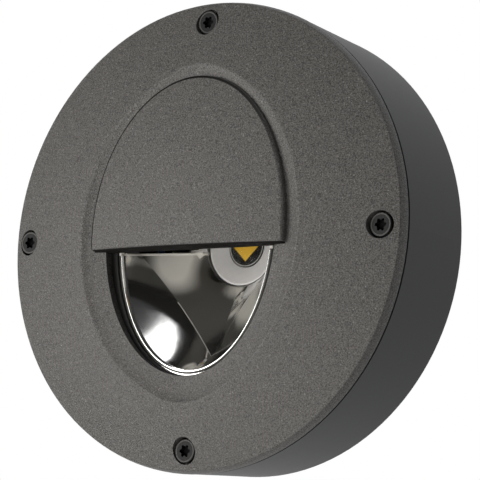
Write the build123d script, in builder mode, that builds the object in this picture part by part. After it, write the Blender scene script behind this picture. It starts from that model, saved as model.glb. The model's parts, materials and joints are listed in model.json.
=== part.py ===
"""Round surface wall downlight: domed cover with a hooded window over a drum housing.

Millimetres. The wall plane is y = 0, the front faces -Y, +X is to the right and +Z is up.
"""
import math
import os

from build123d import *

os.makedirs("parts", exist_ok=True)

# Housing drum
housing_depth = 31.6
floor_thick = 3.5
drum_wall = 3.0
drum_taper = 1.45
drum_back_edge = 0.6
seal_thick = 0.9
seal_recess = 0.7

# Cover outline and dome
cover_r = 70.0
cover_overhang = 0.1
cover_band = 3.1
corner_inset = 0.75
corner_round = 0.5
dome_h = 9.4
cover_wall = 3.2
rim_wall = 3.7
lip_rise = 2.1
lip_margin = 1.0

# Oval dish in the dome
dish_a = 39.0
dish_b = 50.0
dish_run = 1.3
dish_flare = 0.6
dish_round = 1.5
dish_levels = 14
dish_halvings = 20
dish_over = 5.0
dish_under = 1.0

# Hood over the window
moat_side = 4.2
moat_end = 3.4
hood_proud = 0.25
hood_edge_z = -4.7
hood_corner_r = 1.5
hood_edge_r = 1.0
hood_wall = 3.6
hood_lip = 7.0
hood_skin = 3.4

# Window opening, gasket and pane
open_side = 4.1
open_end = 4.6
gasket_gap = 0.4
gasket_thick = 1.0
gasket_margin = 3.3
pane_thick = 1.2
pane_gap = 0.05
pane_sink = 0.3
pane_shelf = 0.35

# Reflector
spigot_side = 2.65
spigot_end = 0.8
spigot_wall = 0.9
spigot_sink = 0.3
spigot_round = 0.3
mouth_rise = 2.0
mouth_top_wall = 0.7
shoulder_width = 3.2
shoulder_thick = 0.8
bowl_drop = 0.15
bowl_slope = 0.1255
bead_r = 0.35
roof_rise = 5.4
roof_wall = 1.0
roof_lap = 1.0
crease_depth = 8.6
crease_lean = 6.0
crease_inset = 0.6
crease_rise = 4.8
crease_bow_depth = 1.4
throat_gap = 0.6
throat_stand = 0.6
collar_lap = 0.5
collar_length = 2.8
reflector_wall = 1.3
leg_side = 12.0
leg_low = 6.0
leg_r = 3.2
leg_root = 1.5
leg_bore = 8.0

# Cover screws and their posts
screw_inset = 6.5
post_r = 4.2
bore_spare = 2.0
shank_r = 2.0
fit_gap = 0.05
head_r = 3.5
head_h = 2.3
head_round = 0.3
head_gap = 0.5
seat_thick = 1.5
cover_boss_r = 5.2
cover_boss_h = 3.0
cover_hole_gap = 0.2
screw_length = 16.0
washer_thick = 0.4
washer_inset = 0.1
recess_r = 1.4
lobe_r = 0.5
recess_depth = 1.5

# Wall holes and cable entry
wall_hole_inset = 21.9
wall_hole_r = 2.5
wall_boss_r = 6.5
wall_boss_h = 4.0
wall_seal_r = 5.6
wall_seal_thick = 1.4
entry_turn = 57.0
entry_inset = 2.1
entry_hole_r = 6.0
entry_bore_r = 4.0
entry_flange = 2.4
entry_flange_h = 2.0
entry_round = 0.7

# LED stack from the floor forwards
spreader_w = 60.0
spreader_h = 40.0
spreader_thick = 4.9
spreader_corner = 3.0
spreader_screw_inset = 4.5
pad_thick = 0.5
board_thick = 1.6
board_margin = 2.5
board_bore = 3.0
ring_r = 12.0
ring_hole_r = 6.4
ring_h = 2.6
ring_land = 0.5
ring_inner_h = 0.5
package_gap = 0.2
package_h = 0.7
phosphor_side = 6.3
phosphor_h = 0.25
lens_inset = 0.9
lens_h = 1.8

# Small fasteners
m3_r = 1.5
m3_head_r = 2.5
m3_head_h = 1.6
m3_socket_r = 1.1
m3_socket_depth = 0.8
m3_head_gap = 0.3
m3_side_gap = 0.7
tip_gap = 0.2
floor_skin = 0.5

# Driver
driver_w = 74.0
driver_h = 21.0
driver_d = 18.0
driver_gap = 4.0
driver_corner = 1.5
driver_round = 0.75
driver_ear = 9.0
driver_ear_h = 10.0
driver_ear_thick = 2.0

# Terminal block
terminal_h = 14.0
terminal_d = 13.5
terminal_post_gap = 3.3
terminal_margin = 0.5
terminal_corner = 1.0
pole_pitch = 10.0
pole_hole_r = 1.6
pole_hole_depth = 4.0
clamp_r = 2.2
clamp_gap = 0.1
clamp_h = 2.0
clamp_slot = 0.6
clamp_slot_depth = 0.7
well_depth = 3.0
fix_r = 1.1
fix_head_r = 1.9
fix_head_gap = 0.2
fix_seat_h = 4.0

# Earth point
earth_boss_r = 5.0
lug_thick = 0.8
lug_r = 4.0
barrel_r = 1.7
barrel_length = 4.0
barrel_gap = 0.4
barrel_sink = 0.3

# Leads
lead_r = 1.0
lead_lift = 0.6
lead_inset = 4.0
supply_rise = 12.5
supply_bend_low = 7.5
supply_bend_high = 10.0
earth_rise = 9.5
earth_bend = 4.0
lead_entry = 2.0
led_lead_r = 0.7
led_lead_x = 5.0
led_pad_h = 0.4
led_pad_l = 3.0
led_pad_w = 2.2
led_pad_gap = 1.4

# Longer than any straight cut that goes right through
through = 60.0

# Depths, from the wall forwards
floor_y = -floor_thick
drum_front_y = -housing_depth
cover_back_y = drum_front_y - seal_thick
rim_y = cover_back_y - cover_band
lip_y = rim_y - lip_rise
shoulder_y = lip_y + gasket_thick
spigot_y = lip_y + spigot_sink
shelf_y = spigot_y + pane_sink + pane_thick
crease_y = spigot_y + crease_depth
washer_y = cover_back_y - seat_thick
head_seat_y = washer_y - washer_thick
head_top_y = head_seat_y - head_h
screw_tip_y = head_seat_y + screw_length
spreader_front_y = floor_y - spreader_thick
board_back_y = spreader_front_y - pad_thick
board_front_y = board_back_y - board_thick
package_front_y = board_front_y - package_h
ring_front_y = board_front_y - ring_h
throat_y = ring_front_y - throat_stand
collar_back_y = ring_front_y + collar_lap
collar_front_y = throat_y - collar_length
terminal_front_y = floor_y - terminal_d
clamp_seat_y = terminal_front_y + well_depth
fix_seat_y = floor_y - fix_seat_h
ear_front_y = floor_y - driver_ear_thick
lead_y = spreader_front_y - lead_lift - lead_r
earth_boss_y = lead_y + barrel_r - barrel_sink
led_lead_y = board_front_y - led_pad_h - led_lead_r
blind_end_y = -floor_skin
screw_end_y = blind_end_y - tip_gap
leg_seat_y = floor_y - m3_head_h - m3_head_gap

# Radii and half-axes, from the outside inwards
drum_front_r = cover_r - cover_overhang
drum_back_r = drum_front_r - drum_taper
drum_bore_r = drum_front_r - drum_wall
cover_bore_r = cover_r - rim_wall
dome_base_r = cover_r - corner_inset
dome_r = (dome_base_r**2 + dome_h**2) / (2 * dome_h)
dome_cy = rim_y - dome_h + dome_r
screw_ring_r = cover_r - screw_inset
lip_r = dish_b - lip_margin
hood_a = dish_a - moat_side
hood_b = dish_b - moat_end
open_a = hood_a - open_side
open_b = hood_b - open_end
spigot_a = open_a - spigot_side
spigot_b = open_b - spigot_end
mouth_a = spigot_a - spigot_wall
mouth_b = spigot_b - spigot_wall
throat_r = ring_r + throat_gap
outer_throat_r = throat_r + reflector_wall
package_r = ring_hole_r - package_gap
lens_r = package_r - lens_inset
board_screw_x = ring_r + m3_side_gap + m3_head_r
board_r = board_screw_x + board_margin
m3_hole_r = m3_r + fit_gap

# Places in the facing plane
mouth_top_z = hood_edge_z + mouth_rise
spigot_top_z = mouth_top_z + mouth_top_wall
bowl_top_z = hood_edge_z - bowl_drop
leg_x = spreader_w / 2 - leg_side
leg_z = leg_low - spreader_h / 2
driver_low_z = spreader_h / 2 + driver_gap
driver_z = driver_low_z + driver_h / 2
ear_z = driver_low_z + driver_ear_h / 2
driver_screw_x = driver_w / 2 + driver_ear / 2
terminal_w = 3 * pole_pitch + 2 * terminal_margin
terminal_z = post_r + terminal_post_gap + terminal_h / 2 - screw_ring_r
terminal_top_z = terminal_z + terminal_h / 2
wall_hole_x = drum_bore_r - wall_hole_inset
entry_ring_r = drum_bore_r - drum_taper - entry_inset - entry_flange - entry_hole_r
entry_x = entry_ring_r * math.cos(math.radians(entry_turn))
entry_z = -entry_ring_r * math.sin(math.radians(entry_turn))
earth_x = -entry_x
earth_z = entry_z
barrel_z = earth_z + earth_boss_r + barrel_gap
lead_x = driver_w / 2 - lead_inset
lead_start_z = terminal_top_z - pole_hole_depth + tip_gap
lead_end_z = driver_low_z + lead_entry - tip_gap
supply_run_z = terminal_top_z + supply_rise
earth_run_z = terminal_top_z + earth_rise
led_pad_z = math.sqrt(ring_r**2 - led_lead_x**2) + led_pad_gap + led_pad_l / 2
screw_angles = {"top": 90, "right": 0, "bottom": 270, "left": 180}


def facing(y):
    """Sketch plane parallel to the wall at depth y, its normal towards the front."""
    return Plane.XZ.offset(-y)


def dome_y(r, inward=0.0):
    """Depth of the cover's dome, or of a dome set inward from it, at radius r."""
    return dome_cy - math.sqrt((dome_r - inward) ** 2 - r**2)


def dish_y(edge, r):
    """Depth of the dish at half-axis r, on an axis where the dish meets the dome at edge."""
    inset = edge - r
    drop = inset / dish_run
    if inset > 0:
        drop = (math.sqrt(dish_run**2 + 4 * dish_flare * inset) - dish_run) / (2 * dish_flare)
    return dome_y(r) + drop


def dish_half_width(y):
    """Half-width of the dish at depth y, closed in on by halving."""
    low = 0.0
    high = dish_a + dish_over
    for _ in range(dish_halvings):
        middle = (low + high) / 2
        if dish_y(dish_a, middle) > y:
            low = middle
        else:
            high = middle
    return low


def bowl_edge_z(y):
    """Height of the reflector bowl's open top edge at depth y."""
    return bowl_top_z + bowl_slope * (y - shelf_y)


def on_screw_ring(name):
    """Position of one cover screw in a facing plane."""
    turn = math.radians(screw_angles[name])
    return (screw_ring_r * math.cos(turn), screw_ring_r * math.sin(turn))


def half_oval(a, b, top):
    """Face of the part of an upright oval that lies below the height top."""
    start = math.degrees(math.asin(top / b))
    with BuildLine() as outline:
        right = EllipticalCenterArc((0, 0), a, b, start_angle=-90, arc_size=90 + start)
        left = EllipticalCenterArc((0, 0), a, b, start_angle=180 - start, arc_size=90 + start)
        Line(right @ 1, left @ 0)
    make_face(outline.edges())


def hood_oval(inset, lip):
    """Face of the hood's oval above its straight lower edge, set inward from both."""
    Ellipse(hood_a - inset, hood_b - inset)
    with Locations((0, hood_edge_z + lip)):
        Rectangle(through * 2, through, align=(Align.CENTER, Align.MIN), mode=Mode.INTERSECT)


def crease_shape(grow):
    """Face of the reflector's bowed triangular section, grown outward by grow."""
    x = crease_x + grow
    height = crease_h + 2 * grow
    chord = math.hypot(x, height)
    mid_x = x / 2 - crease_bow_depth * height / chord
    mid_v = grow - height / 2 + crease_bow_depth * x / chord
    with BuildLine() as outline:
        ThreePointArc((0, grow - height), (mid_x, mid_v), (x, grow))
        Line((x, grow), (-x, grow))
        ThreePointArc((-x, grow), (-mid_x, mid_v), (0, grow - height))
    make_face(outline.edges())


def disc(y, r, length, places=((0, 0),), mode=Mode.ADD):
    """Straight round bars from depth y towards the front, one at each place."""
    with BuildSketch(facing(y)) as ends:
        with Locations(*places):
            Circle(r)
    extrude(ends.sketch, amount=length, mode=mode)


def socket_screws(places, seat_y, tip_y):
    """Small cheese-head screws with a hexagon socket, heads standing on depth seat_y."""
    disc(tip_y, m3_r, tip_y - seat_y, places)
    disc(seat_y, m3_head_r, m3_head_h, places)
    with BuildSketch(facing(seat_y - m3_head_h)) as sockets:
        with Locations(*places):
            RegularPolygon(m3_socket_r, 6)
    extrude(sockets.sketch, amount=-m3_socket_depth, mode=Mode.SUBTRACT)


def slotted_heads(places, seat_y, r, h):
    """Round screw heads with a straight slot, standing on depth seat_y."""
    disc(seat_y, r, h, places)
    with BuildSketch(facing(seat_y - h)) as slots:
        with Locations(*places):
            Rectangle(3 * r, clamp_slot)
    extrude(slots.sketch, amount=-clamp_slot_depth, mode=Mode.SUBTRACT)


def lead(points, bends):
    """Round insulated wire along straight runs and tangent bends at one depth."""
    with BuildLine(facing(lead_y)) as run:
        FilletPolyline(*points, radius=bends)
    with BuildSketch(Plane(origin=run.line @ 0, z_dir=run.line % 0)) as section:
        Circle(lead_r)
    sweep(section.sketch, path=run.line)


def save(body, name):
    """Label one finished piece and write it to its own file."""
    body.part.label = name
    export_step(body.part, "parts/" + name + ".step")


screw_x = spreader_w / 2 - spreader_screw_inset
screw_z = spreader_h / 2 - spreader_screw_inset
spreader_places = [(screw_x, screw_z), (-screw_x, screw_z), (screw_x, -screw_z), (-screw_x, -screw_z)]
leg_places = [(-leg_x, leg_z), (leg_x, leg_z)]
board_places = [(-board_screw_x, 0), (board_screw_x, 0)]
driver_places = [(-driver_screw_x, ear_z), (driver_screw_x, ear_z)]
fix_places = [(-pole_pitch / 2, terminal_z), (pole_pitch / 2, terminal_z)]
pole_places = [(-pole_pitch, terminal_z), (0, terminal_z), (pole_pitch, terminal_z)]
wall_places = [(-wall_hole_x, 0), (wall_hole_x, 0)]
entry_place = [(entry_x, entry_z)]
earth_place = [(earth_x, earth_z)]
post_places = [on_screw_ring(name) for name in screw_angles]

# Dish cutter: ovals stacked in depth, ever closer to the window, and open to the front
dish_out_b = dish_b + dish_over
dish_in_b = open_b - dish_under
with BuildPart() as dish_cutter:
    for level in range(dish_levels):
        b = dish_out_b + (dish_in_b - dish_out_b) * level / (dish_levels - 1)
        y = dish_y(dish_b, b)
        with BuildSketch(facing(y)):
            Ellipse(dish_half_width(y), b)
    loft()
    extrude(faces().sort_by(Axis.Y)[0], amount=dome_h)

# Hood block, trimmed to a dome that stands slightly proud of the cover's own
with BuildPart() as hood_block:
    with BuildSketch(facing(lip_y)):
        hood_oval(0, 0)
        fillet(vertices(), hood_corner_r)
    extrude(amount=through)
    with Locations((0, dome_cy, 0)):
        Sphere(dome_r + hood_proud, mode=Mode.INTERSECT)
    fillet(faces().sort_by(Axis.Y)[0].edges(), hood_edge_r)

# Front cover
with BuildPart() as front_cover:
    with BuildSketch(Plane.XY):
        with BuildLine():
            apex = (0, dome_y(0))
            corner = (dome_base_r, rim_y)
            back = (cover_r, cover_back_y)
            inner = (cover_bore_r, dome_y(cover_bore_r, cover_wall))
            ThreePointArc(apex, (dome_base_r / 2, dome_y(dome_base_r / 2)), corner)
            TangentArc(back, corner, tangent=(0, -1))
            Polyline(back, (cover_bore_r, cover_back_y), inner, (lip_r, lip_y), (0, lip_y), apex)
        make_face()
        fillet(vertices().sort_by_distance(corner)[0], corner_round)
    revolve(axis=Axis.Y)
    disc(cover_back_y, cover_boss_r, cover_boss_h, post_places)
    add(dish_cutter.part, mode=Mode.SUBTRACT)
    fillet(edges(Select.LAST).sort_by(SortBy.LENGTH)[-1], dish_round)
    with BuildSketch(facing(cover_back_y)):
        half_oval(open_a, open_b, hood_edge_z)
    extrude(amount=through, mode=Mode.SUBTRACT)
    add(hood_block.part)
    with BuildSketch(facing(lip_y)):
        hood_oval(hood_wall, hood_lip)
    extrude(amount=hood_skin, mode=Mode.SUBTRACT)
    disc(washer_y, head_r + head_gap, through, post_places, Mode.SUBTRACT)
    disc(cover_back_y, shank_r + cover_hole_gap, through, post_places, Mode.SUBTRACT)
save(front_cover, "front_cover")

# Cover screws with a six-lobe recess, and the sealing washers under their heads
for name in screw_angles:
    with BuildPart() as cover_screw:
        place = [on_screw_ring(name)]
        disc(screw_tip_y, shank_r, screw_length, place)
        disc(head_seat_y, head_r, head_h, place)
        fillet(faces().sort_by(Axis.Y)[0].edges(), head_round)
        with BuildSketch(facing(head_top_y)):
            with Locations(*place):
                Circle(recess_r)
                with PolarLocations(recess_r, 6):
                    Circle(lobe_r)
        extrude(amount=-recess_depth, mode=Mode.SUBTRACT)
    save(cover_screw, "cover_screw_" + name)

with BuildPart() as screw_washers:
    disc(washer_y, head_r - washer_inset, washer_thick, post_places)
    disc(washer_y, shank_r + cover_hole_gap, washer_thick, post_places, Mode.SUBTRACT)
save(screw_washers, "screw_washers")

# Window gasket between the cover's lip and the reflector's shoulder
with BuildPart() as window_gasket:
    with BuildSketch(facing(shoulder_y)):
        half_oval(spigot_a + gasket_margin, spigot_b + gasket_margin, spigot_top_z + gasket_margin)
    extrude(amount=gasket_thick)
    with BuildSketch(facing(shoulder_y)):
        half_oval(spigot_a + gasket_gap, spigot_b + gasket_gap, spigot_top_z + gasket_gap)
    extrude(amount=gasket_thick, mode=Mode.SUBTRACT)
save(window_gasket, "window_gasket")

# Reflector stations: a leaning crease between the mouth and the throat, and the bowl's top corners
crease_x = mouth_a - crease_inset
crease_top_z = bowl_edge_z(crease_y)
lean = math.radians(crease_lean)
crease_h = (crease_top_z + mouth_b - crease_rise) / math.cos(lean)
crease_plane = Plane((0, crease_y, crease_top_z), (1, 0, 0), (0, -math.cos(lean), -math.sin(lean)))
throat_top_z = bowl_edge_z(throat_y)
bowl_a = mouth_a - pane_shelf
bowl_b = mouth_b - pane_shelf
bead_start_y = shelf_y + bead_r
bead_start_x = bowl_a * math.sqrt(1 - (bowl_top_z / bowl_b) ** 2)
throat_x = math.sqrt(throat_r**2 - throat_top_z**2)
collar_part = (collar_front_y - crease_y) / (throat_y - crease_y)
bead_end_x = crease_x + (throat_x - crease_x) * collar_part

# Space inside the reflector: window rebate, two faceted stages and the LED throat
with BuildPart() as reflector_space:
    with BuildSketch(facing(shelf_y)):
        half_oval(bowl_a, bowl_b, bowl_top_z)
    with BuildSketch(crease_plane):
        crease_shape(0)
    loft(ruled=True)
    with BuildSketch(crease_plane):
        crease_shape(0)
    with BuildSketch(facing(throat_y)):
        half_oval(throat_r, throat_r, throat_top_z)
    loft(ruled=True)
    with BuildSketch(facing(shelf_y)):
        half_oval(mouth_a, mouth_b, mouth_top_z)
    extrude(amount=through)
    with BuildSketch(Plane.YZ):
        with BuildLine():
            Polyline(
                (shelf_y, bowl_top_z),
                (collar_front_y, bowl_edge_z(collar_front_y)),
                (collar_front_y, through),
                (shelf_y, through),
                close=True,
            )
        make_face()
    extrude(amount=through, both=True)
    disc(floor_y, throat_r, floor_y - collar_front_y)

# Roof of the reflector, from the top of its mouth back over the LED
roof_back_y = collar_front_y + roof_lap
roof_back_z = mouth_top_z + roof_rise
with BuildPart() as roof:
    with BuildSketch(Plane.YZ):
        with BuildLine():
            Polyline(
                (shelf_y, mouth_top_z),
                (roof_back_y, roof_back_z),
                (roof_back_y, roof_back_z + roof_wall),
                (shelf_y, mouth_top_z + roof_wall),
                close=True,
            )
        make_face()
    extrude(amount=through, both=True)
    with BuildSketch(Plane.XY):
        with BuildLine():
            Polyline(
                (-mouth_a, shelf_y),
                (mouth_a, shelf_y),
                (crease_x, crease_y),
                (outer_throat_r, roof_back_y),
                (-outer_throat_r, roof_back_y),
                (-crease_x, crease_y),
                close=True,
            )
        make_face()
    extrude(amount=through, both=True, mode=Mode.INTERSECT)

# Reflector, its bowl open below the roof between two beaded edges
with BuildPart() as reflector:
    with BuildSketch(facing(shelf_y)):
        half_oval(spigot_a, spigot_b, spigot_top_z)
    extrude(amount=shelf_y - spigot_y)
    fillet(faces().sort_by(Axis.Y)[0].edges(), spigot_round)
    with BuildSketch(facing(shelf_y)):
        half_oval(bowl_a + reflector_wall, bowl_b + reflector_wall, bowl_top_z + reflector_wall)
    with BuildSketch(crease_plane):
        crease_shape(reflector_wall)
    loft(ruled=True)
    with BuildSketch(crease_plane):
        crease_shape(reflector_wall)
    with BuildSketch(facing(collar_back_y)):
        half_oval(outer_throat_r, outer_throat_r, throat_top_z + reflector_wall)
    loft(ruled=True)
    with BuildSketch(facing(shoulder_y + shoulder_thick)):
        half_oval(spigot_a + shoulder_width, spigot_b + shoulder_width, spigot_top_z + shoulder_width)
    extrude(amount=shoulder_thick)
    disc(collar_back_y, outer_throat_r, collar_back_y - collar_front_y)
    disc(spreader_front_y, leg_r, spreader_front_y - crease_y + leg_root, leg_places)
    add(reflector_space.part, mode=Mode.SUBTRACT)
    disc(spreader_front_y, m3_hole_r, leg_bore, leg_places, Mode.SUBTRACT)
    add(roof.part)
    for side in (-1, 1):
        with BuildLine() as bead:
            Polyline(
                (side * bead_start_x, bead_start_y, bowl_edge_z(bead_start_y)),
                (side * crease_x, crease_y, crease_top_z),
                (side * bead_end_x, collar_front_y, bowl_edge_z(collar_front_y)),
            )
        with BuildSketch(Plane(origin=bead.line @ 0, z_dir=bead.line % 0)) as section:
            Circle(bead_r)
        sweep(section.sketch, path=bead.line, transition=Transition.RIGHT)
save(reflector, "reflector")

# Clear window pane bonded on the shelf of the reflector's mouth
with BuildPart() as window_pane:
    with BuildSketch(facing(shelf_y)):
        half_oval(mouth_a - pane_gap, mouth_b - pane_gap, mouth_top_z - pane_gap)
    extrude(amount=pane_thick)
save(window_pane, "window_pane")

# Rear housing: tapered drum with floor, screw posts and bosses
with BuildPart() as rear_housing:
    with BuildSketch(Plane.XY):
        with BuildLine():
            Polyline(
                (0, 0),
                (drum_back_r - drum_back_edge, 0),
                (drum_back_r, -drum_back_edge),
                (drum_front_r, drum_front_y),
                (drum_bore_r, drum_front_y),
                (drum_bore_r - drum_taper, floor_y),
                (0, floor_y),
                close=True,
            )
        make_face()
    revolve(axis=Axis.Y)
    disc(floor_y, post_r, floor_y - drum_front_y, post_places)
    disc(floor_y, wall_boss_r, wall_boss_h, wall_places)
    disc(floor_y, earth_boss_r, floor_y - earth_boss_y, earth_place)
    disc(screw_tip_y + bore_spare, shank_r + fit_gap, through, post_places, Mode.SUBTRACT)
    disc(0, wall_hole_r, through, wall_places, Mode.SUBTRACT)
    disc(0, entry_hole_r, through, entry_place, Mode.SUBTRACT)
    disc(blind_end_y, m3_hole_r, through, spreader_places + driver_places + earth_place, Mode.SUBTRACT)
    disc(blind_end_y, fix_r + fit_gap, through, fix_places, Mode.SUBTRACT)
save(rear_housing, "rear_housing")

# Housing gasket with a tab round every post
with BuildPart() as housing_gasket:
    with BuildSketch(facing(drum_front_y)):
        Circle(drum_front_r - seal_recess)
        Circle(drum_bore_r, mode=Mode.SUBTRACT)
        with Locations(*post_places):
            Circle(post_r)
            Circle(shank_r + cover_hole_gap, mode=Mode.SUBTRACT)
    extrude(amount=seal_thick)
save(housing_gasket, "housing_gasket")

# Sealing washers of the wall holes
with BuildPart() as wall_hole_seals:
    disc(floor_y - wall_boss_h, wall_seal_r, wall_seal_thick, wall_places)
    disc(floor_y - wall_boss_h, wall_hole_r, wall_seal_thick, wall_places, Mode.SUBTRACT)
save(wall_hole_seals, "wall_hole_seals")

# Cable grommet
with BuildPart() as cable_grommet:
    disc(0, entry_hole_r - fit_gap, floor_thick, entry_place)
    disc(floor_y, entry_hole_r + entry_flange, entry_flange_h, entry_place)
    fillet(faces().sort_by(Axis.Y)[0].edges(), entry_round)
    disc(0, entry_bore_r, through, entry_place, Mode.SUBTRACT)
save(cable_grommet, "cable_grommet")

# Heat spreader and its screws
with BuildPart() as heat_spreader:
    with BuildSketch(facing(floor_y)):
        RectangleRounded(spreader_w, spreader_h, spreader_corner)
    extrude(amount=spreader_thick)
    disc(floor_y, m3_hole_r, through, spreader_places + leg_places, Mode.SUBTRACT)
    disc(floor_y, m3_head_r + m3_head_gap, m3_head_h + m3_head_gap, leg_places, Mode.SUBTRACT)
    disc(spreader_front_y + board_bore, m3_hole_r, through, board_places, Mode.SUBTRACT)
save(heat_spreader, "heat_spreader")

with BuildPart() as spreader_screws:
    socket_screws(spreader_places, spreader_front_y, screw_end_y)
save(spreader_screws, "spreader_screws")

# Reflector screws, put in from behind the spreader
with BuildPart() as reflector_screws:
    disc(leg_seat_y, m3_r, leg_seat_y - spreader_front_y + leg_bore - tip_gap, leg_places)
    disc(leg_seat_y + m3_head_h, m3_head_r, m3_head_h, leg_places)
    with BuildSketch(facing(leg_seat_y + m3_head_h)):
        with Locations(*leg_places):
            RegularPolygon(m3_socket_r, 6)
    extrude(amount=m3_socket_depth, mode=Mode.SUBTRACT)
save(reflector_screws, "reflector_screws")

# Thermal pad, LED board and its screws
with BuildPart() as thermal_pad:
    disc(spreader_front_y, board_r, pad_thick)
    disc(spreader_front_y, m3_hole_r, pad_thick, board_places, Mode.SUBTRACT)
save(thermal_pad, "thermal_pad")

with BuildPart() as led_board:
    disc(board_back_y, board_r, board_thick)
    disc(board_back_y, m3_hole_r, board_thick, board_places, Mode.SUBTRACT)
save(led_board, "led_board")

with BuildPart() as board_screws:
    socket_screws(board_places, board_front_y, spreader_front_y + board_bore - tip_gap)
save(board_screws, "board_screws")

# LED package with its square of phosphor and clear lens
with BuildPart() as led_package:
    disc(board_front_y, package_r, package_h)
save(led_package, "led_package")

with BuildPart() as led_phosphor:
    with BuildSketch(facing(package_front_y)):
        Rectangle(phosphor_side, phosphor_side, rotation=45)
    extrude(amount=phosphor_h)
save(led_phosphor, "led_phosphor")

with BuildPart() as led_lens:
    with BuildSketch(Plane.XY):
        with BuildLine():
            cap_r = (lens_r**2 + lens_h**2) / (2 * lens_h)
            cap_y = package_front_y - lens_h
            mid = (lens_r / 2, cap_y + cap_r - math.sqrt(cap_r**2 - lens_r**2 / 4))
            ThreePointArc((0, cap_y), mid, (lens_r, package_front_y))
            Polyline((lens_r, package_front_y), (0, package_front_y), (0, cap_y))
        make_face()
    revolve(axis=Axis.Y)
    with BuildSketch(facing(package_front_y)):
        Rectangle(phosphor_side, phosphor_side, rotation=45)
    extrude(amount=phosphor_h, mode=Mode.SUBTRACT)
save(led_lens, "led_lens")

# LED holder ring with a conical face
with BuildPart() as led_holder_ring:
    with BuildSketch(Plane.XY):
        with BuildLine():
            Polyline(
                (ring_hole_r, board_front_y),
                (ring_r, board_front_y),
                (ring_r, ring_front_y),
                (ring_r - ring_land, ring_front_y),
                (ring_hole_r, board_front_y - ring_inner_h),
                close=True,
            )
        make_face()
    revolve(axis=Axis.Y)
save(led_holder_ring, "led_holder_ring")

# Driver, ears and screws
with BuildPart() as led_driver:
    with BuildSketch(facing(floor_y)):
        with Locations((0, driver_z)):
            RectangleRounded(driver_w, driver_h, driver_corner)
    extrude(amount=driver_d)
    fillet(faces().sort_by(Axis.Y)[0].edges(), driver_round)
    with BuildSketch(facing(floor_y)):
        with Locations((0, ear_z)):
            RectangleRounded(driver_w + 2 * driver_ear, driver_ear_h, driver_corner)
    extrude(amount=driver_ear_thick)
    disc(floor_y, m3_hole_r, driver_ear_thick, driver_places, Mode.SUBTRACT)
    with BuildSketch(Plane.XY.offset(driver_low_z)):
        with Locations((-lead_x, lead_y), (lead_x, lead_y)):
            Circle(lead_r + fit_gap)
        with Locations((-led_lead_x, led_lead_y), (led_lead_x, led_lead_y)):
            Circle(led_lead_r + fit_gap)
    extrude(amount=lead_entry, mode=Mode.SUBTRACT)
save(led_driver, "led_driver")

with BuildPart() as driver_screws:
    socket_screws(driver_places, ear_front_y, screw_end_y)
save(driver_screws, "driver_screws")

# Terminal block with clamp and fixing screws
with BuildPart() as terminal_block:
    with BuildSketch(facing(floor_y)):
        with Locations((0, terminal_z)):
            RectangleRounded(terminal_w, terminal_h, terminal_corner)
    extrude(amount=terminal_d)
    disc(clamp_seat_y, clamp_r + clamp_gap, well_depth, pole_places, Mode.SUBTRACT)
    with BuildSketch(Plane.XY.offset(terminal_z - terminal_h / 2)):
        with Locations((-pole_pitch, lead_y), (0, lead_y), (pole_pitch, lead_y)):
            Circle(pole_hole_r)
    extrude(amount=pole_hole_depth, mode=Mode.SUBTRACT)
    with BuildSketch(Plane.XY.offset(terminal_top_z)):
        with Locations((-pole_pitch, lead_y), (0, lead_y), (pole_pitch, lead_y)):
            Circle(lead_r + fit_gap)
    extrude(amount=-pole_hole_depth, mode=Mode.SUBTRACT)
    disc(floor_y, fix_r + fit_gap, through, fix_places, Mode.SUBTRACT)
    disc(fix_seat_y, fix_head_r + fix_head_gap, through, fix_places, Mode.SUBTRACT)
save(terminal_block, "terminal_block")

with BuildPart() as terminal_clamp_screws:
    slotted_heads(pole_places, clamp_seat_y, clamp_r, clamp_h)
save(terminal_clamp_screws, "terminal_clamp_screws")

with BuildPart() as terminal_fix_screws:
    slotted_heads(fix_places, fix_seat_y, fix_head_r, clamp_h)
    disc(screw_end_y, fix_r, screw_end_y - fix_seat_y, fix_places)
save(terminal_fix_screws, "terminal_fix_screws")

# Earth lug and screw
with BuildPart() as earth_lug:
    disc(earth_boss_y, lug_r, lug_thick, earth_place)
    with BuildSketch(facing(earth_boss_y)):
        with Locations(earth_place[0]):
            Rectangle(2 * barrel_r, barrel_z - earth_z + barrel_length, align=(Align.CENTER, Align.MIN))
    extrude(amount=lug_thick)
    with BuildSketch(Plane.XY.offset(barrel_z)):
        with Locations((earth_x, lead_y)):
            Circle(barrel_r)
    extrude(amount=barrel_length)
    with BuildSketch(Plane.XY.offset(barrel_z)):
        with Locations((earth_x, lead_y)):
            Circle(lead_r + fit_gap)
    extrude(amount=barrel_length, mode=Mode.SUBTRACT)
    disc(earth_boss_y, m3_hole_r, lug_thick, earth_place, Mode.SUBTRACT)
save(earth_lug, "earth_lug")

with BuildPart() as earth_screw:
    socket_screws(earth_place, earth_boss_y - lug_thick, screw_end_y)
save(earth_screw, "earth_screw")

# Leads from the terminals to the driver and to the earth lug
for pole_x, end_x, name in ((pole_pitch, lead_x, "lead_live"), (0, -lead_x, "lead_neutral")):
    with BuildPart() as supply_lead:
        start = (pole_x, lead_start_z)
        first = (pole_x, supply_run_z)
        second = (end_x, supply_run_z)
        end = (end_x, lead_end_z)
        lead([start, first, second, end], [supply_bend_low, supply_bend_high])
    save(supply_lead, name)

with BuildPart() as lead_earth:
    start = (-pole_pitch, lead_start_z)
    first = (-pole_pitch, earth_run_z)
    second = (earth_x, earth_run_z)
    end = (earth_x, barrel_z + tip_gap)
    lead([start, first, second, end], [earth_bend, earth_bend])
save(lead_earth, "lead_earth")

# LED leads on their solder pads
for side, name in ((1, "led_lead_plus"), (-1, "led_lead_minus")):
    with BuildPart() as led_lead:
        led_lead_start_z = led_pad_z - led_pad_l / 2
        with BuildSketch(Plane.XY.offset(led_lead_start_z)):
            with Locations((side * led_lead_x, led_lead_y)):
                Circle(led_lead_r)
        extrude(amount=lead_end_z - led_lead_start_z)
    save(led_lead, name)

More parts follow.
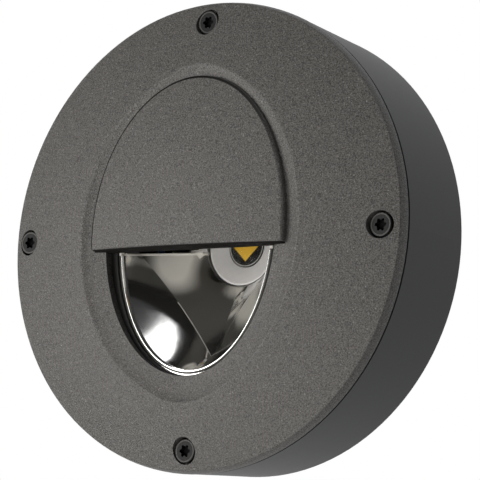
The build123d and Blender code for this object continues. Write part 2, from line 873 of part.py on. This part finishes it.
with BuildPart() as solder_pads:
    with BuildSketch(facing(board_front_y)):
        with Locations((-led_lead_x, led_pad_z), (led_lead_x, led_pad_z)):
            Rectangle(led_pad_w, led_pad_l)
    extrude(amount=led_pad_h)
save(solder_pads, "solder_pads")
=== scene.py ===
"""Looks for the wall downlight: finishes, studio light and the camera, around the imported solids."""
import json
import math

import bmesh
import bpy
from mathutils import Matrix, Quaternion, Vector


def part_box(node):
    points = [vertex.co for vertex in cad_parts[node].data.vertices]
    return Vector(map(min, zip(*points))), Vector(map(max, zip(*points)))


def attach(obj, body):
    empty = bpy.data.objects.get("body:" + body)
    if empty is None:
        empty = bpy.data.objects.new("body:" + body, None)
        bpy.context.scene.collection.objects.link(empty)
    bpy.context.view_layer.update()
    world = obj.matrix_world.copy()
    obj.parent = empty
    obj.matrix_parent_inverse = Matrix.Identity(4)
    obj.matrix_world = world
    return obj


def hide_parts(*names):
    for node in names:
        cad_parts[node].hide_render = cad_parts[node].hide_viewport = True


# Lengths are in metres and angles in degrees, unless a comment says otherwise.

ORIGIN = (0.0, 0.0, 0.0)
WHITE = (1.0, 1.0, 1.0)

# Camera, with its lens in millimetres
VIEW_AZIMUTH = 35.63
VIEW_ELEVATION = -8.29
VIEW_ROLL = 3.0
VIEW_TARGET = (0.01561, -0.03652, -0.00239)
VIEW_DISTANCE = 0.7294
VIEW_LENS = 189.2
VIEW_CLIP = 0.01

# Floor
FLOOR_Z = -1.20
FLOOR_SIZE = 3.0
FLOOR_COLOUR = (0.86, 0.86, 0.85)
FLOOR_ROUGHNESS = 0.9
FLOOR_GLOW = 0.85

# Room: strength of its fill light, shade of its front, and where the dark front ends and the white
# back begins, from 0 straight in front of the object to 1 straight behind it
FILL_STRENGTH = 0.15
FRONT_SHADE = 0.04
FRONT_EDGE = 0.35
BACK_EDGE = 0.65

# Softboxes: name, azimuth, elevation, distance, width, height, watts, colour
WARM = (1.0, 0.98, 0.945)
CREAM = (1.0, 0.93, 0.82)
SOFTBOXES = [
    ("key", -40, -2, 1.2, 0.95, 0.80, 10.0, WARM),
    ("top", 30, 63, 1.2, 0.85, 0.60, 2.4, WHITE),
    ("low", 8, -38, 1.2, 0.60, 0.45, 4.0, WARM),
    ("card", 10, 4, 1.3, 0.55, 0.36, 0.6, CREAM),
]

# Grain of the finishes: detail of its noise, and the noise levels of the darkest and palest tone
GRAIN_DETAIL = 2.0
GRAIN_DARK = 0.3
GRAIN_PALE = 0.7

# Finishes that aren't metal: colour, roughness, grain size, spread of the colour, spread of the
# roughness, height of the relief, and the IOR where it isn't the usual one
USUAL_IOR = 1.5
COATS = {
    "textured_paint": ((0.105, 0.102, 0.098), 0.50, 0.00036, 0.80, 0.08, 0.00010),
    "smooth_paint": ((0.034, 0.035, 0.038), 0.50, 0.0020, 0.06, 0.03, 0.000002, 1.33),
    "black_rubber": ((0.004, 0.004, 0.004), 0.60, 0.0006, 0.20, 0.10, 0.00001),
    "white_plastic": ((0.80, 0.79, 0.79), 0.35, 0.0012, 0.02, 0.05, 0.000004),
    "black_plastic": ((0.010, 0.010, 0.010), 0.40, 0.0008, 0.15, 0.08, 0.000006),
    "phosphor": ((0.94, 0.56, 0.040), 0.50, 0.0007, 0.06, 0.05, 0.00001),
    "white_board": ((0.75, 0.75, 0.74), 0.40, 0.0010, 0.02, 0.06, 0.000004),
    "grey_pad": ((0.30, 0.31, 0.33), 0.70, 0.0009, 0.08, 0.06, 0.00001),
    "white_case": ((0.72, 0.72, 0.70), 0.45, 0.0011, 0.02, 0.07, 0.000012),
    "pale_block": ((0.60, 0.60, 0.57), 0.45, 0.0012, 0.03, 0.06, 0.000006),
    "brown_wire": ((0.13, 0.05, 0.02), 0.45, 0.0010, 0.08, 0.06, 0.000005),
    "blue_wire": ((0.03, 0.12, 0.40), 0.45, 0.0010, 0.08, 0.06, 0.000005),
    "green_wire": ((0.12, 0.35, 0.05), 0.45, 0.0010, 0.08, 0.06, 0.000005),
    "red_wire": ((0.45, 0.03, 0.02), 0.45, 0.0010, 0.08, 0.06, 0.000005),
    "black_wire": ((0.02, 0.02, 0.02), 0.45, 0.0010, 0.08, 0.06, 0.000005),
    "black_steel": ((0.012, 0.012, 0.013), 0.35, 0.0007, 0.20, 0.10, 0.000008, 1.22),
}

# Metals: the same columns
METALS = {
    "bare_aluminium": ((0.66, 0.66, 0.67), 0.35, 0.0012, 0.06, 0.10, 0.00001),
    "plated_steel": ((0.55, 0.55, 0.55), 0.30, 0.0008, 0.06, 0.10, 0.000006),
    "brass": ((0.62, 0.48, 0.22), 0.30, 0.0008, 0.06, 0.10, 0.000006),
    "solder": ((0.70, 0.70, 0.70), 0.25, 0.0008, 0.05, 0.10, 0.00002),
}

# Clear pieces: roughness, slant from which they begin to show, opacity up to there, opacity edge on
GLASS = {
    "clear_pane": (0.02, 0.80, 0.0, 0.10),
    "clear_lens": (0.02, 0.0, 0.03, 0.55),
}

# Reflector: mirror in the bowl, painted shade on the roof and outside the rim's oval, as a dark
# unreflecting coat that shows dark in the mirror, and painted light: a pale highlight line at the
# roof's edge, pale highlight lines on the lower creases and a pale pool of light on the roof, which
# the bowl shows as a pale reflection. The roof and the highlight line begin at these heights at the
# front of the roof, and rise towards the back.
MIRROR_COLOUR = (0.93, 0.93, 0.92)
MIRROR_ROUGHNESS = 0.12
# Painted shade on the roof and outside the rim's oval: its colour, roughness and stop in the zone
# ramp
PAINTED_SHADE_COLOUR = (0.062, 0.060, 0.054)
PAINTED_SHADE_ROUGHNESS = 0.6
PAINTED_SHADE_ZONE = 0.5
# Painted light on the roof, along its edge and on the lower creases: its colour
PAINTED_LIGHT_COLOUR = (0.92, 0.90, 0.85)
ROOF_FRONT_Y = -0.0359
ROOF_Z = -0.0036
ROOF_SLOPE = 0.19
# Painted highlight line along the roof's edge: its height, slope and half width
HIGHLIGHT_LINE_Z = -0.00485
HIGHLIGHT_LINE_SLOPE = 0.1255
HIGHLIGHT_LINE_HALF = 0.00042
# Painted pool of light on the roof: its centre, radii and fade
PATCH_CENTRE = (-0.0160, -0.0225, 0.0)
PATCH_RADII = (0.0100, 0.0072, 1.0)
PATCH_FADE = (0.6, 1.15)
CREASE_Y = -0.029216
CREASE_LEAN = 0.1051
# Painted highlight on the lower creases: its half width and the height where it stops
CREASE_HALF = 0.00010
CREASE_TOP_Z = -0.0185
RIM_BACK_Y = -0.0370
RIM_RADII = (0.0272, 1.0, 0.0406)

# Cover paint: bright specks in its grain, above this noise level
SPECK_LEVEL = 0.78
SPECK_COLOUR = (0.48, 0.47, 0.45)

# Hood: its oval, the smaller oval outside which the painted shade line runs, where that line fades
# out towards the right, the heights between which its lower edge is painted dark as shade, and the
# IOR that takes the gloss off that painted shade
HOOD_RADII = (0.03468, 1.0, 0.04648)
HOOD_LINE_RADII = (0.03400, 1.0, 0.04580)
HOOD_LINE_FADE_X = (0.002, 0.032)
HOOD_EDGE_LOW = -0.0048
HOOD_EDGE_HIGH = -0.0043
HOOD_SHADE_IOR = 1.05

# Cover screws: radius of their circle and of a head, the painted highlight round the head's edge and
# the recess as shares of the head's radius, the depth at which the recess begins, the IOR that paints
# shade down the recess, and the colour of the painted highlight
SCREW_CIRCLE = 0.0635
HEAD_RADIUS = 0.0035
EDGE_SHARE = 0.88
EDGE_HALF = 0.06
RECESS_SHARE = 0.62
RECESS_STEP = 0.00012
RECESS_IOR = 1.02
HEAD_HIGHLIGHT_COLOUR = (0.095, 0.094, 0.092)

# LED package: the painted highlight, a pale ring round its lens that stands in for the lens rim's
# highlight, and half its width as a share of its radius
LENS_HIGHLIGHT_RADII = (0.00585, 1.0, 0.00585)
LENS_HIGHLIGHT_HALF = 0.026
LENS_HIGHLIGHT_COLOUR = (0.45, 0.44, 0.42)

# Phosphor tile: how far it stands proud, its turn, and the rounding of its edges
PHOSPHOR_PROUD = 0.00004
PHOSPHOR_TURN = 45.0
PHOSPHOR_ROUND = 0.00006
PHOSPHOR_SEGMENTS = 3
PHOSPHOR_PROFILE = 0.5


def principled(name, colour, roughness, metallic=0.0, **sockets):
    """New material with one shader, its plain values set on the shader's own sockets."""
    mat = bpy.data.materials.new(name)
    mat.use_nodes = True
    shader = mat.node_tree.nodes["Principled BSDF"]
    shader.inputs["Base Color"].default_value = (*colour, 1.0)
    shader.inputs["Roughness"].default_value = roughness
    shader.inputs["Metallic"].default_value = metallic
    for socket, value in sockets.items():
        shader.inputs[socket.replace("_", " ")].default_value = value
    return mat


def feed(tree, sockets, terms):
    """Link each socket to its term, or set it where the term is a plain value."""
    for socket, term in zip(sockets, terms):
        if isinstance(term, bpy.types.NodeSocket):
            tree.links.new(term, socket)
        else:
            socket.default_value = term


def calc(tree, operation, *terms):
    """Math node over sockets and plain numbers."""
    node = tree.nodes.new("ShaderNodeMath")
    node.operation = operation
    feed(tree, node.inputs, terms)
    return node.outputs["Value"]


def vector_calc(tree, operation, *terms):
    """Vector math node over sockets and plain vectors."""
    node = tree.nodes.new("ShaderNodeVectorMath")
    node.operation = operation
    feed(tree, node.inputs, terms)
    return node.outputs["Value" if operation == "LENGTH" else "Vector"]


def ranged(tree, value, low, high, start, end):
    """Value mapped from low..high to start..end."""
    node = tree.nodes.new("ShaderNodeMapRange")
    names = ("Value", "From Min", "From Max", "To Min", "To Max")
    feed(tree, [node.inputs[name] for name in names], (value, low, high, start, end))
    return node.outputs["Result"]


def reach(tree, point, centre, radii):
    """Distance of a point from a centre, in units of those radii."""
    apart = vector_calc(tree, "SUBTRACT", point, centre)
    return vector_calc(tree, "LENGTH", vector_calc(tree, "DIVIDE", apart, radii))


def axes(tree, point):
    """X, Y and Z of a point."""
    split = tree.nodes.new("ShaderNodeSeparateXYZ")
    tree.links.new(point, split.inputs["Vector"])
    return split.outputs["X"], split.outputs["Y"], split.outputs["Z"]


def grained(name, metallic, colour, roughness, grain, spread, rough_spread, relief, ior=USUAL_IOR):
    """Material whose colour, gloss and surface vary with a fine grain in the part's own space."""
    mat = principled(name, colour, roughness, metallic, IOR=ior)
    tree = mat.node_tree
    shader = tree.nodes["Principled BSDF"]
    place = tree.nodes.new("ShaderNodeTexCoord")
    noise = tree.nodes.new("ShaderNodeTexNoise")
    noise.inputs["Scale"].default_value = 1.0 / grain
    noise.inputs["Detail"].default_value = GRAIN_DETAIL
    tree.links.new(place.outputs["Object"], noise.inputs["Vector"])
    level = noise.outputs["Fac"]
    tone = tree.nodes.new("ShaderNodeValToRGB")
    dark, pale = tone.color_ramp.elements
    dark.position = GRAIN_DARK
    pale.position = GRAIN_PALE
    dark.color = (*[c * (1.0 - spread) for c in colour], 1.0)
    pale.color = (*[min(1.0, c * (1.0 + spread)) for c in colour], 1.0)
    tree.links.new(level, tone.inputs["Fac"])
    tree.links.new(tone.outputs["Color"], shader.inputs["Base Color"])
    smoothest, roughest = max(0.0, roughness - rough_spread), roughness + rough_spread
    gloss = ranged(tree, level, 0.0, 1.0, smoothest, roughest)
    tree.links.new(gloss, shader.inputs["Roughness"])
    bump = tree.nodes.new("ShaderNodeBump")
    bump.inputs["Distance"].default_value = relief
    tree.links.new(level, bump.inputs["Height"])
    tree.links.new(bump.outputs["Normal"], shader.inputs["Normal"])
    return mat


def grain_of(mat):
    """Place in the part's space, noise level and tone of a grained material."""
    nodes = mat.node_tree.nodes
    point = nodes["Texture Coordinate"].outputs["Object"]
    return point, nodes["Noise Texture"].outputs["Fac"], nodes["Color Ramp"]


def dull(mat, zone, ior):
    """Give a zone of a material that IOR, and leave its own to the rest."""
    tree = mat.node_tree
    socket = tree.nodes["Principled BSDF"].inputs["IOR"]
    tree.links.new(ranged(tree, zone, 0.0, 1.0, socket.default_value, ior), socket)


def cover_paint(mat):
    """Bright specks in the grain, and painted shade along the hood's rounded edge and lower edge."""
    tree = mat.node_tree
    point, level, tone = grain_of(mat)
    tone.color_ramp.elements.new(SPECK_LEVEL).color = (*SPECK_COLOUR, 1.0)
    x, _, z = axes(tree, point)
    within = calc(tree, "LESS_THAN", reach(tree, point, ORIGIN, HOOD_RADII), 1.0)
    above = calc(tree, "MULTIPLY", within, calc(tree, "GREATER_THAN", z, HOOD_EDGE_LOW))
    beside = calc(tree, "GREATER_THAN", reach(tree, point, ORIGIN, HOOD_LINE_RADII), 1.0)
    fading = calc(tree, "MULTIPLY", beside, ranged(tree, x, *HOOD_LINE_FADE_X, 1.0, 0.0))
    along = calc(tree, "MAXIMUM", fading, calc(tree, "LESS_THAN", z, HOOD_EDGE_HIGH))
    # Painted shade: the darkest grain tone along the hood's edge and lower edge, with its gloss taken
    # off.
    line = calc(tree, "MULTIPLY", above, along)
    tree.links.new(calc(tree, "SUBTRACT", level, line), tone.inputs["Fac"])
    dull(mat, line, HOOD_SHADE_IOR)


def head_highlight_and_shade(mat):
    """Black screws with a painted highlight round the head's edge and painted shade down the recess.
    """
    tree = mat.node_tree
    point, level, tone = grain_of(mat)
    folded = vector_calc(tree, "ABSOLUTE", point)
    radii = (HEAD_RADIUS, 1.0, HEAD_RADIUS)
    aside = reach(tree, folded, (SCREW_CIRCLE, 0.0, 0.0), radii)
    upright = reach(tree, folded, (0.0, 0.0, SCREW_CIRCLE), radii)
    share = calc(tree, "MINIMUM", aside, upright)
    # Painted highlight: a pale ring round each head's edge.
    edge = calc(tree, "COMPARE", share, EDGE_SHARE, EDGE_HALF)
    tone.color_ramp.elements.new(1.0).color = (*HEAD_HIGHLIGHT_COLOUR, 1.0)
    tree.links.new(calc(tree, "ADD", level, edge), tone.inputs["Fac"])
    _, y, _ = axes(tree, point)
    head_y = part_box("cover_screw_top")[0][1]
    # Painted shade down the recess: an IOR near 1 takes its gloss away.
    sunk = calc(tree, "GREATER_THAN", y, head_y + RECESS_STEP)
    recess = calc(tree, "MULTIPLY", sunk, calc(tree, "LESS_THAN", share, RECESS_SHARE))
    dull(mat, recess, RECESS_IOR)


def lens_rim_highlight(mat):
    """Painted highlight: a pale ring on the black package, round the lens, standing in for the lens
    rim's highlight.
    """
    tree = mat.node_tree
    point, level, tone = grain_of(mat)
    share = reach(tree, point, ORIGIN, LENS_HIGHLIGHT_RADII)
    # Painted highlight: a pale ring round the lens.
    ring = calc(tree, "COMPARE", share, 1.0, LENS_HIGHLIGHT_HALF)
    tone.color_ramp.elements.new(1.0).color = (*LENS_HIGHLIGHT_COLOUR, 1.0)
    tree.links.new(calc(tree, "ADD", level, ring), tone.inputs["Fac"])


def reflector_coat():
    """Mirror with zones of painted shade and painted light: 0 in the mirror, the middle stop where
    painted dark, 1 where painted pale.
    """
    mat = principled("mirror_coat", MIRROR_COLOUR, MIRROR_ROUGHNESS, 1.0)
    tree = mat.node_tree
    shader = tree.nodes["Principled BSDF"]
    point = tree.nodes.new("ShaderNodeTexCoord").outputs["Object"]
    _, y, z = axes(tree, point)

    # Painted shade: the roof and the rim outside its oval get a dark unreflecting coat.
    roof_line = calc(tree, "MULTIPLY_ADD", y, ROOF_SLOPE, ROOF_Z - ROOF_SLOPE * ROOF_FRONT_Y)
    on_roof = calc(tree, "GREATER_THAN", z, roof_line)
    on_rim = calc(tree, "LESS_THAN", y, RIM_BACK_Y)
    outside = calc(tree, "GREATER_THAN", reach(tree, point, ORIGIN, RIM_RADII), 1.0)
    roof_and_rim_shade = calc(tree, "MAXIMUM", on_roof, calc(tree, "MULTIPLY", on_rim, outside))

    # Painted light: a pale pool on the roof, seen in the bowl as a pale reflection.
    in_patch = ranged(tree, reach(tree, point, PATCH_CENTRE, PATCH_RADII), *PATCH_FADE, 1.0, 0.0)
    patch = calc(tree, "MULTIPLY", on_roof, in_patch)
    # Painted highlight: a pale line along the roof's edge.
    roof_edge_highlight_line = calc(tree, "MULTIPLY_ADD", y, HIGHLIGHT_LINE_SLOPE, HIGHLIGHT_LINE_Z - HIGHLIGHT_LINE_SLOPE * ROOF_FRONT_Y)
    roof_edge_highlight = calc(tree, "COMPARE", z, roof_edge_highlight_line, HIGHLIGHT_LINE_HALF)
    # Painted highlight: pale lines on the lower creases.
    crease_line = calc(tree, "MULTIPLY_ADD", z, -CREASE_LEAN, CREASE_Y)
    on_crease = calc(tree, "COMPARE", y, crease_line, CREASE_HALF)
    crease = calc(tree, "MULTIPLY", on_crease, calc(tree, "LESS_THAN", z, CREASE_TOP_Z))
    pale = calc(tree, "MAXIMUM", calc(tree, "MAXIMUM", roof_edge_highlight, crease), patch)

    shade_level = calc(tree, "MULTIPLY", roof_and_rim_shade, PAINTED_SHADE_ZONE)
    pale_level = ranged(tree, pale, 0.0, 1.0, PAINTED_SHADE_ZONE, 1.0)
    highest = calc(tree, "MAXIMUM", shade_level, pale_level)
    zone = calc(tree, "MULTIPLY", highest, calc(tree, "MAXIMUM", roof_and_rim_shade, pale))

    tone = tree.nodes.new("ShaderNodeValToRGB")
    stops = tone.color_ramp.elements
    stops.new(PAINTED_SHADE_ZONE)
    for stop, colour in zip(stops, (MIRROR_COLOUR, PAINTED_SHADE_COLOUR, PAINTED_LIGHT_COLOUR)):
        stop.color = (*colour, 1.0)
    tree.links.new(zone, tone.inputs["Fac"])
    tree.links.new(tone.outputs["Color"], shader.inputs["Base Color"])
    metal = ranged(tree, zone, 0.0, PAINTED_SHADE_ZONE, 1.0, 0.0)
    tree.links.new(metal, shader.inputs["Metallic"])
    roughness = ranged(tree, zone, 0.0, PAINTED_SHADE_ZONE, MIRROR_ROUGHNESS, PAINTED_SHADE_ROUGHNESS)
    tree.links.new(roughness, shader.inputs["Roughness"])
    return mat


def clear(name, roughness, slant, face_opacity, edge_opacity):
    """Clear glass, hardly seen face on, that shows more where it is seen at a slant."""
    mat = principled(name, WHITE, roughness, Transmission_Weight=1.0)
    tree = mat.node_tree
    facing = tree.nodes.new("ShaderNodeLayerWeight").outputs["Facing"]
    opacity = ranged(tree, facing, slant, 1.0, face_opacity, edge_opacity)
    tree.links.new(opacity, tree.nodes["Principled BSDF"].inputs["Alpha"])
    return mat


def finishes():
    """One material for each slot of the record, with its own look."""
    made = {slot: grained(slot, 0.0, *row) for slot, row in COATS.items()}
    made |= {slot: grained(slot, 1.0, *row) for slot, row in METALS.items()}
    made |= {slot: clear(slot, *row) for slot, row in GLASS.items()}
    made["mirror_coat"] = reflector_coat()
    cover_paint(made["textured_paint"])
    head_highlight_and_shade(made["black_steel"])
    lens_rim_highlight(made["black_plastic"])
    return made


def add_phosphor(mat):
    """Phosphor square with softened edges, proud so that its face doesn't meet the lens over it."""
    low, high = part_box("led_phosphor")
    side = (high[0] - low[0]) / math.sqrt(2.0)
    depth = high[1] - low[1] + PHOSPHOR_PROUD
    turn = Matrix.Rotation(math.radians(PHOSPHOR_TURN), 4, "Y")
    size = Matrix.Diagonal((side, depth, side, 1.0))
    place = Matrix.Translation((0.0, high[1] - depth / 2.0, 0.0))
    mesh = bpy.data.meshes.new("phosphor_tile")
    bm = bmesh.new()
    bmesh.ops.create_cube(bm, size=1.0, matrix=place @ turn @ size)
    bmesh.ops.bevel(bm, geom=bm.edges[:], offset=PHOSPHOR_ROUND, segments=PHOSPHOR_SEGMENTS,
                    affect="EDGES", profile=PHOSPHOR_PROFILE)
    bm.to_mesh(mesh)
    bm.free()
    mesh.materials.append(mat)
    tile = bpy.data.objects.new("phosphor_tile", mesh)
    bpy.context.collection.objects.link(tile)
    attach(tile, "housing")
    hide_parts("led_phosphor")


def reflected(tree, path):
    """One for rays off gloss or through glass, nought for the rest."""
    return calc(tree, "MAXIMUM", path["Is Glossy Ray"], path["Is Transmission Ray"])


def add_floor():
    """Floor well below the object, lit by the lamps and pale to the camera and in reflections."""
    glow_colour = (*FLOOR_COLOUR, 1.0)
    mat = principled("floor", FLOOR_COLOUR, FLOOR_ROUGHNESS, Emission_Color=glow_colour)
    tree = mat.node_tree
    path = tree.nodes.new("ShaderNodeLightPath").outputs
    seen = calc(tree, "MAXIMUM", path["Is Camera Ray"], reflected(tree, path))
    glow = ranged(tree, seen, 0.0, 1.0, 0.0, FLOOR_GLOW)
    tree.links.new(glow, tree.nodes["Principled BSDF"].inputs["Emission Strength"])
    bpy.ops.mesh.primitive_plane_add(size=FLOOR_SIZE, location=(0.0, 0.0, FLOOR_Z))
    floor = bpy.context.object
    floor.name = "floor"
    floor.data.materials.append(mat)


def add_world():
    """Room that is white behind the object, dark on the camera's side, and white to the camera."""
    world = bpy.data.worlds.new("studio")
    bpy.context.scene.world = world
    world.use_nodes = True
    tree = world.node_tree
    room = tree.nodes["Background"]
    _, y, _ = axes(tree, tree.nodes.new("ShaderNodeTexCoord").outputs["Generated"])
    shade = tree.nodes.new("ShaderNodeValToRGB")
    front, back = shade.color_ramp.elements
    front.position = FRONT_EDGE
    front.color = (FRONT_SHADE, FRONT_SHADE, FRONT_SHADE, 1.0)
    back.position = BACK_EDGE
    tree.links.new(ranged(tree, y, -1.0, 1.0, 0.0, 1.0), shade.inputs["Fac"])
    tree.links.new(shade.outputs["Color"], room.inputs["Color"])
    path = tree.nodes.new("ShaderNodeLightPath").outputs
    strength = ranged(tree, reflected(tree, path), 0.0, 1.0, FILL_STRENGTH, 1.0)
    tree.links.new(strength, room.inputs["Strength"])
    backdrop = tree.nodes.new("ShaderNodeBackground")
    backdrop.inputs["Color"].default_value = (*WHITE, 1.0)
    either = tree.nodes.new("ShaderNodeMixShader")
    shaders = (path["Is Camera Ray"], room.outputs["Background"], backdrop.outputs["Background"])
    feed(tree, either.inputs, shaders)
    tree.links.new(either.outputs["Shader"], tree.nodes["World Output"].inputs["Surface"])


def direction(azimuth, elevation):
    """Unit vector from the object towards a place at that azimuth and elevation."""
    a, e = math.radians(azimuth), math.radians(elevation)
    return Vector((math.sin(a) * math.cos(e), -math.cos(a) * math.cos(e), math.sin(e)))


def add_facing(name, data, azimuth, elevation, distance, roll=0.0):
    """Lamp or camera at that side of the object, turned to face it."""
    back = direction(azimuth, elevation)
    obj = bpy.data.objects.new(name, data)
    bpy.context.collection.objects.link(obj)
    obj.location = Vector(VIEW_TARGET) + back * distance
    obj.rotation_mode = "QUATERNION"
    turn = Quaternion((0.0, 0.0, 1.0), math.radians(roll))
    obj.rotation_quaternion = (-back).to_track_quat("-Z", "Y") @ turn
    return obj


def add_softbox(name, azimuth, elevation, distance, width, height, watts, colour):
    """Area lamp that faces the object from that side."""
    data = bpy.data.lights.new(name, "AREA")
    data.shape = "RECTANGLE"
    data.size = width
    data.size_y = height
    data.energy = watts
    data.color = colour
    add_facing(name, data, azimuth, elevation, distance).visible_camera = False


def add_camera():
    """Camera at the photographed angle."""
    data = bpy.data.cameras.new("camera")
    data.lens = VIEW_LENS
    data.clip_start = VIEW_CLIP
    camera = add_facing("camera", data, VIEW_AZIMUTH, VIEW_ELEVATION, VIEW_DISTANCE, VIEW_ROLL)
    bpy.context.scene.camera = camera


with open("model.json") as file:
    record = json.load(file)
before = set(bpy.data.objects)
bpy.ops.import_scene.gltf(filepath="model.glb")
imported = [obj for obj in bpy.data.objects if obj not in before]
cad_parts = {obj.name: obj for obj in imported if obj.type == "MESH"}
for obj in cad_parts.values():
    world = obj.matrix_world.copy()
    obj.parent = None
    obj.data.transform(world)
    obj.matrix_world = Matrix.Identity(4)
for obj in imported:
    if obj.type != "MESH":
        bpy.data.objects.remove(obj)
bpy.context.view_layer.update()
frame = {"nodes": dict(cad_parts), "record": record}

looks = finishes()
for row in frame["record"]["subparts"]:
    node, slot = frame["nodes"][row["node"]], row["material_slot"]
    node.data.materials.clear()
    node.data.materials.append(looks[slot])
    node.visible_shadow = slot not in GLASS

add_phosphor(looks["phosphor"])
add_floor()
add_world()
for softbox in SOFTBOXES:
    add_softbox(*softbox)
add_camera()
bpy.context.scene.view_settings.view_transform = "Standard"
